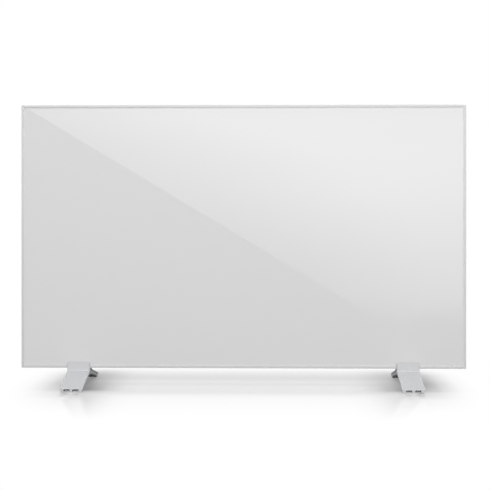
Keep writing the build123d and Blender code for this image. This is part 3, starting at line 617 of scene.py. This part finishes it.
def cross_screw(name, head_radius, head_height, shank_radius, length):
    """Pan-head screw with a cross recess, standing on z = 0 with its shank below."""
    ring = head_radius * 0.16  # width of each ring of faces that the dome is shaped by
    fall, curve = 0.42, 2.6  # share of its height that the head loses at its rim, and how late
    tip = shank_radius * 0.6  # width of the slope at the shank's end
    slot_long, slot_wide, slot_deep = head_radius * 1.5, head_radius * 0.32, head_height * 0.75
    slot_taper = 0.45
    bpy.ops.object.select_all(action="DESELECT")
    bpy.ops.mesh.primitive_cylinder_add(
        vertices=40, radius=head_radius, depth=head_height, location=(0, 0, head_height / 2)
    )
    screw = bpy.context.object
    screw.name = name
    bpy.ops.object.transform_apply()
    bpy.ops.object.mode_set(mode="EDIT")
    for _ in range(3):
        pick(screw, innermost)
        bpy.ops.mesh.inset(thickness=ring)
    bpy.ops.object.mode_set(mode="OBJECT")
    for vertex in screw.data.vertices:
        if vertex.co.z > head_height / 2:
            out = vertex.co.xy.length / head_radius
            vertex.co.z = head_height * (1 - fall * out**curve)
    bpy.ops.object.mode_set(mode="EDIT")
    pick(screw, underneath)
    bpy.ops.mesh.inset(thickness=head_radius - shank_radius)
    bpy.ops.mesh.extrude_region_move(TRANSFORM_OT_translate={"value": (0, 0, -length)})
    bpy.ops.mesh.inset(thickness=tip)
    bpy.ops.transform.translate(value=(0, 0, -shank_radius))
    bpy.ops.object.mode_set(mode="OBJECT")
    for turn in (0, math.pi / 2):
        bpy.ops.mesh.primitive_cube_add(size=1, location=(0, 0, head_height))
        cutter = bpy.context.object
        cutter.scale = (slot_long, slot_wide, 2 * slot_deep)
        cutter.rotation_euler = (0, 0, turn)
        bpy.ops.object.transform_apply()
        bpy.ops.object.mode_set(mode="EDIT")
        pick(cutter, underneath)
        bpy.ops.transform.resize(value=(slot_taper, slot_taper, 1))
        bpy.ops.object.mode_set(mode="OBJECT")
        cut(screw, "DIFFERENCE", cutter)
    smooth(screw, degrees=35)
    return screw


def copies(model, places, turn, finish, body, slot, *nodes):
    """A copy of a modelled piece at each place, each with its own mesh."""
    for number, place in enumerate(places):
        piece = model.copy()
        piece.data = model.data.copy()
        piece.name = f"{model.name}_{number + 1}"
        bpy.context.scene.collection.objects.link(piece)
        piece.data.transform(Matrix.Translation(place) @ turn)
        piece.data.materials.clear()
        piece.data.materials.append(finish)
        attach(piece, body)
    bpy.data.objects.remove(model)
    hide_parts(*nodes)


facing_back = Matrix.Rotation(-math.pi / 2, 4, "X")
sheet_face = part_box("back_panel")[1].y
screws_low, screws_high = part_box("back_screws")
head_radius = 0.0034
side_x = screws_high.x - head_radius
top_z, bottom_z = screws_high.z - head_radius, screws_low.z + head_radius
middle_z = (top_z + bottom_z) / 2
panel_low, panel_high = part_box("frame_bottom")[0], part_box("frame_top")[1]
first_screw = 0.022  # from a corner of the frame
reach_x = panel_high.x - first_screw
reach_z = (panel_high.z - panel_low.z) / 2 - first_screw
screws_along, screws_up = 6, 4  # on each long side and on each short side
long_places = [reach_x * (2 * step / (screws_along - 1) - 1) for step in range(screws_along)]
short_places = [reach_z * (2 * step / (screws_up - 1) - 1) for step in range(screws_up)]
screw_places = [Vector((x, sheet_face, z)) for x in long_places for z in (bottom_z, top_z)]
screw_places += [
    Vector((x, sheet_face, middle_z + z)) for z in short_places for x in (-side_x, side_x)
]
back_screw = cross_screw(
    "back_screw",
    head_radius,
    head_height=screws_high.y - sheet_face,
    shank_radius=0.0017,
    length=0.0072,
)
copies(back_screw, screw_places, facing_back, zinc, "heater", "zinc_steel", "back_screws")

# ---- junction box -------------------------------------------------------------------------------
# A shallow moulded box for the mains connection, blind-riveted to the back sheet over a rubber
# grommet. Its lid is held by four screws in corner bosses, and the joint shows as a dark line.

box_pale = (0.70, 0.70, 0.69)
rivet_bright = (0.78, 0.78, 0.79)
grommet_black = (0.03, 0.03, 0.03)
lid_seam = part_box("junction_base")[1].y

box_white = moulding("box_moulding", box_pale, roughness=0.42, spark=0.00004, seam=lid_seam)
dress(box_white, "junction_base", "junction_lid")
dress(plated_metal("rivet_aluminium", rivet_bright, roughness=0.32, grain=700.0), "base_rivets")
dress(rubber("grommet_rubber", grommet_black, roughness=0.6), "lead_grommet", "gland_seal")

lid_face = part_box("junction_lid")[1].y
lid_low, lid_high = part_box("lid_screws")
lid_head = 0.0029
lid_places = [
    Vector((x, lid_face, z))
    for x in (lid_low.x + lid_head, lid_high.x - lid_head)
    for z in (lid_low.z + lid_head, lid_high.z - lid_head)
]
lid_screw = cross_screw(
    "lid_screw",
    lid_head,
    head_height=lid_high.y - lid_face,
    shank_radius=0.0015,
    length=0.0105,
)
copies(lid_screw, lid_places, facing_back, zinc, "heater", "zinc_steel", "lid_screws")

# ---- terminals and earth ------------------------------------------------------------------------
# Inside the box a three-pole block of polyamide holds brass clamps with steel grub screws. The
# earth lead ends in a ring under a nut on a stud that is welded to the back sheet.

polyamide = (0.72, 0.71, 0.66)
brass = (0.78, 0.60, 0.28)

dress(moulding("block_polyamide", polyamide, roughness=0.4, spark=0.00003), "terminal_block")
clamp_brass = plated_metal("clamp_brass", brass, roughness=0.3, grain=700.0)
dress(clamp_brass, "terminal_clamps", "earth_tag")
dress(zinc, "terminal_screws", "earth_stud", "earth_nut")

# ---- cable gland --------------------------------------------------------------------------------
# A nylon gland for the mains cord in the underside of the box: a threaded sleeve with a hexagon,
# a locknut inside, a rubber seal and a dome nut that closes the seal on the cord.

nylon_grey = (0.56, 0.57, 0.58)
nut_low, nut_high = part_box("gland_cap")
nut_height = nut_high.z - nut_low.z
nut_radius = (nut_high.x - nut_low.x) / 2  # to the corners of the hexagon
turned_radius = nut_radius * 0.985  # to which the corners are rounded
hexagon_edge = 0.0005  # bevel along the hexagon's edges
mouth_edge = 0.001  # at the end that meets the gland's body
dome_edge = 0.0042  # at the end that the cord enters
entry_radius, neck_radius = 0.0046, 0.0073  # for the cord, and for the gland's body
end_wall = 0.0024
past_end = 0.001  # by which a cutter stands out of what it cuts

nylon = moulding("gland_nylon", nylon_grey, roughness=0.38, spark=0.00003)
dress(nylon, "gland_body", "gland_locknut", "gland_cap")

bpy.ops.object.select_all(action="DESELECT")
bpy.ops.mesh.primitive_cylinder_add(
    vertices=6, radius=nut_radius, depth=nut_height, rotation=(0, 0, math.pi / 6)
)
dome_nut = bpy.context.object
dome_nut.name = "gland_dome_nut"
bpy.ops.object.transform_apply()
bpy.ops.object.mode_set(mode="EDIT")
bpy.ops.mesh.select_all(action="SELECT")
bpy.ops.mesh.bevel(offset=hexagon_edge, segments=2)
bpy.ops.object.mode_set(mode="OBJECT")


def cut_round(piece, operation, radius, low, high, bevels=(), vertices=96):
    """Cut the piece with a round bar, or keep what lies within it. Its ends may be bevelled."""
    bpy.ops.mesh.primitive_cylinder_add(
        vertices=vertices, radius=radius, depth=high - low, location=(0, 0, (low + high) / 2)
    )
    bar = bpy.context.object
    bpy.ops.object.transform_apply()
    bpy.ops.object.mode_set(mode="EDIT")
    for end, offset, segments in bevels:
        pick(bar, end)
        bpy.ops.mesh.region_to_loop()
        bpy.ops.mesh.bevel(offset=offset, segments=segments)
    bpy.ops.object.mode_set(mode="OBJECT")
    cut(piece, operation, bar)


half = nut_height / 2
nut_ends = ((on_top, mouth_edge, 3), (underneath, dome_edge, 8))
cut_round(dome_nut, "INTERSECT", turned_radius, -half, half, nut_ends)
cut_round(dome_nut, "DIFFERENCE", entry_radius, -half - past_end, 0)
cut_round(dome_nut, "DIFFERENCE", neck_radius, end_wall - half, half + past_end)
smooth(dome_nut, degrees=30)
dome_nut.data.transform(Matrix.Translation((nut_low + nut_high) / 2))
dome_nut.data.materials.clear()
dome_nut.data.materials.append(nylon)
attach(dome_nut, "heater")
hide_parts("gland_cap")

# ---- rocker switch ------------------------------------------------------------------------------
# A snap-in rocker switch in the side of the box: black housing with a bezel, and a glossier
# rocker that tips about a stub at each side. A ring and a bar are printed on the rocker.

housing_black = (0.022, 0.022, 0.023)
rocker_black = (0.016, 0.016, 0.017)
print_pale = (0.80, 0.80, 0.79)
pivot = Vector(frame["joints"][0]["pos_m"])
half_throw = math.radians(10)  # by which the rocker rests tipped and each of its halves slopes
fold_depth = 0.004  # from the pivot to the fold of the rocker's face, before it is tipped
mark_size = 0.0013
mark_width = 0.0004
mark_round = mark_width * 0.3
mark_proud = 0.00003  # the other half of its thickness lies in the rocker
mark_from_fold = 0.0031

dress(moulding("switch_black", housing_black, roughness=0.34, spark=0.00003), "switch_housing")
dress(moulding("rocker_black", rocker_black, roughness=0.2, spark=0.00001), "switch_rocker")
print_white = rubber("print_white", print_pale, roughness=0.5)


def finish_mark(mark, side):
    """Thicken a printed mark and lay it on the upper or lower half of the rocker's face."""
    thick = mark.modifiers.new("thick", "SOLIDIFY")
    thick.thickness = 2 * mark_proud
    thick.offset = 0
    bpy.context.view_layer.objects.active = mark
    bpy.ops.object.modifier_apply(modifier=thick.name)
    slope = Matrix.Rotation(side * half_throw, 4, "Y")
    tipped = Matrix.Rotation(-half_throw, 4, "Y")
    on_face = Matrix.Translation((0, 0, side * mark_from_fold))
    upright = Matrix.Rotation(math.pi / 2, 4, "Y")
    to_fold = Matrix.Translation((fold_depth, 0, 0))
    mark.data.transform(Matrix.Translation(pivot) @ tipped @ to_fold @ slope @ on_face @ upright)
    mark.data.materials.append(print_white)
    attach(mark, "rocker")


bpy.ops.object.select_all(action="DESELECT")
bpy.ops.mesh.primitive_circle_add(vertices=40, radius=mark_size, fill_type="NGON")
ring = bpy.context.object
ring.name = "rocker_mark_off"
bpy.ops.object.mode_set(mode="EDIT")
bpy.ops.mesh.select_mode(type="FACE")
bpy.ops.mesh.select_all(action="SELECT")
bpy.ops.mesh.inset(thickness=mark_width)
bpy.ops.mesh.delete(type="FACE")
bpy.ops.object.mode_set(mode="OBJECT")
finish_mark(ring, side=1)

bpy.ops.mesh.primitive_plane_add(size=2 * mark_size)
bar = bpy.context.object
bar.name = "rocker_mark_on"
bpy.ops.object.mode_set(mode="EDIT")
bpy.ops.mesh.select_all(action="SELECT")
bpy.ops.transform.resize(value=(1, mark_width / 2 / mark_size, 1))
bpy.ops.mesh.bevel(offset=mark_round, segments=3, affect="VERTICES")
bpy.ops.object.mode_set(mode="OBJECT")
finish_mark(bar, side=-1)

# ---- feet ---------------------------------------------------------------------------------------
# Two die-cast feet clipped over the bottom of the frame with a rubber lining in the slot. Socket
# screws from below pull them to tapped bars inside the frame. Their grey coat is a duller one.

foot_grey = (0.562, 0.570, 0.582)
liner_grey = (0.22, 0.22, 0.225)
pad_black = (0.05, 0.05, 0.052)
cap_radius, cap_height = 0.0043, 0.0032  # head of a foot screw
cap_edge = 0.0005  # round its rim
shank_radius, shank_length = 0.0025, 0.0192
shank_point = 0.0008  # height and width of the slope at the shank's end
socket_radius, socket_floor = 0.0023, 0.0012  # the floor is measured from under the head
boss_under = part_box("foot_screws")[0].z + cap_height
screw_y = (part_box("foot_screws")[0].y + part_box("foot_screws")[1].y) / 2
channel_middle = 0.00975  # from the foot's middle to the screw between its ribs

foot_coat = powder_coat("foot_coat", foot_grey, peel=0.00005, roughness=0.55)
dress(foot_coat, "foot_left", "foot_right")
dress(rubber("liner_rubber", liner_grey, roughness=0.6), "slot_liners")
dress(rubber("pad_rubber", pad_black, roughness=0.7), "foot_pads")
dress(zinc, "nut_bars")

bpy.ops.object.select_all(action="DESELECT")
bpy.ops.mesh.primitive_cylinder_add(
    vertices=48, radius=cap_radius, depth=cap_height, location=(0, 0, cap_height / 2)
)
socket_screw = bpy.context.object
socket_screw.name = "foot_screw"
bpy.ops.object.transform_apply()
bpy.ops.object.mode_set(mode="EDIT")
pick(socket_screw, on_top)
bpy.ops.mesh.region_to_loop()
bpy.ops.mesh.bevel(offset=cap_edge, segments=3)
pick(socket_screw, underneath)
bpy.ops.mesh.inset(thickness=cap_radius - shank_radius)
bpy.ops.mesh.extrude_region_move(TRANSFORM_OT_translate={"value": (0, 0, -shank_length)})
bpy.ops.mesh.inset(thickness=shank_point)
bpy.ops.transform.translate(value=(0, 0, -shank_point))
bpy.ops.object.mode_set(mode="OBJECT")
cut_round(
    socket_screw, "DIFFERENCE", socket_radius, socket_floor, cap_height + past_end, vertices=6
)
smooth(socket_screw, degrees=35)
foot_places = [
    Vector((side * foot_centre_x + across_foot * channel_middle, screw_y, boss_under))
    for side in (-1, 1)
    for across_foot in (-1, 1)
]
facing_down = Matrix.Rotation(math.pi, 4, "X")
copies(socket_screw, foot_places, facing_down, zinc, "heater", "zinc_steel", "foot_screws")
